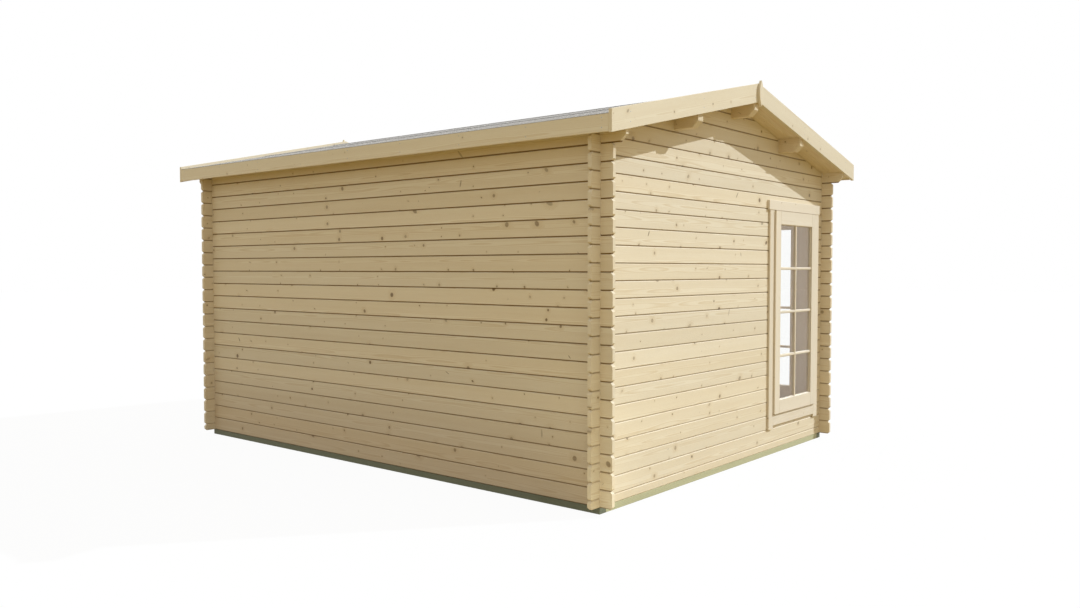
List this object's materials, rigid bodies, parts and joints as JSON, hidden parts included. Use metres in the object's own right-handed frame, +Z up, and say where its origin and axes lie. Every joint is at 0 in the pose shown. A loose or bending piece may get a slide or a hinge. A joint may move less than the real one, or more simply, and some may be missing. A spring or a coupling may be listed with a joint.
{
  "type": "log cabin",
  "caption": "Garden log cabin with interlocking log walls crossed at notched corners, a low gable roof on purlins, a tall glazed window and a glazed double door.",
  "frame": {"origin": "on the ground under the middle of the cabin's plan", "axes": "+Z up, +Y along the ridge away from the window gable, +X across the gables towards the door wall"},
  "size_m": [3.83, 4.941, 2.9581],
  "materials": {
    "log": "planed untreated spruce with small knots",
    "board": "planed untreated spruce boards",
    "joinery": "smooth planed spruce",
    "purlin": "planed glued spruce",
    "bearer": "green pressure-treated softwood",
    "floor": "planed spruce floor boards",
    "insulation": "rigid foam boards, hidden in the roof",
    "felt": "mineral-faced bitumen felt",
    "glass": "clear float glass"
  },
  "bodies": {
    "root": {"side_bearers": "bearer", "gable_bearers": "bearer", "floor_joists": "bearer", "floor_deck": "floor", "left_wall_odd_logs": "log", "left_wall_even_logs": "log", "right_wall_odd_logs": "log", "right_wall_even_logs": "log", "front_gable_odd_logs": "log", "front_gable_even_logs": "log", "back_gable_odd_logs": "log", "back_gable_even_logs": "log", "wall_plates": "log", "eave_logs": "log", "ridge_purlin": "purlin", "middle_purlins": "purlin", "left_roof_boards": "board", "right_roof_boards": "board", "roof_insulation": "insulation", "left_roof_felt": "felt", "right_roof_felt": "felt", "left_fascia": "board", "right_fascia": "board", "front_left_barge": "board", "front_right_barge": "board", "back_left_barge": "board", "back_right_barge": "board", "front_finial": "board", "back_finial": "board", "window_jambs": "joinery", "window_head_and_sill": "joinery", "window_stiles": "joinery", "window_rails": "joinery", "window_glass": "glass", "window_side_trims": "joinery", "window_head_trims": "joinery", "window_aprons": "joinery", "door_jambs": "joinery", "door_head": "joinery", "door_threshold": "joinery", "door_stiles": "joinery", "door_rails": "joinery", "door_panels": "joinery", "door_glass": "glass", "door_side_trims": "joinery", "door_head_trims": "joinery"}
  },
  "joints": []
}
